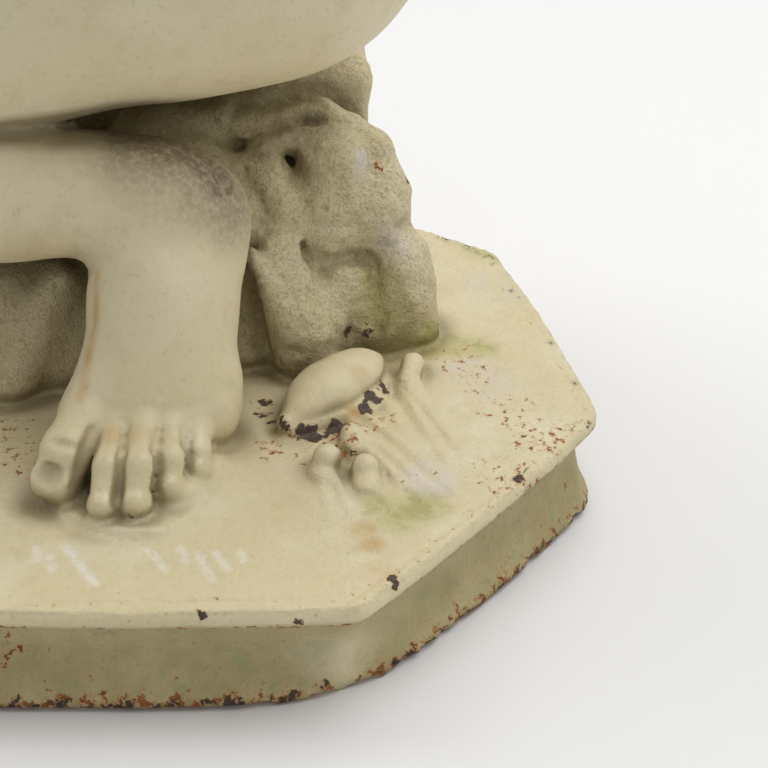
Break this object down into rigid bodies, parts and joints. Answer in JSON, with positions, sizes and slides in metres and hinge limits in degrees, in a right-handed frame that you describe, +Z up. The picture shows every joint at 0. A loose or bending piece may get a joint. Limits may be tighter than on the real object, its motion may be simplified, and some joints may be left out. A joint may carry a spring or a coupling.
{
  "type": "cast iron garden statue",
  "caption": "Painted cast iron garden statue of a bather kneeling on one leg on a rock, on an eight-sided moulded plinth with a shell, pebbles and weed.",
  "frame": {"origin": "middle of the underside of the plinth, on the ground", "axes": "+Z up, front of the statue towards -Y, +X to the right of someone facing its front"},
  "size_m": [0.5088, 0.399, 0.809],
  "materials": {
    "painted_iron": "old cream oil paint over cast iron, satin, dirty in the creases, chipped to black iron and freckled with rust along the plinth's edges"
  },
  "bodies": {
    "root": {"statue_casting": "painted_iron"}
  },
  "joints": []
}
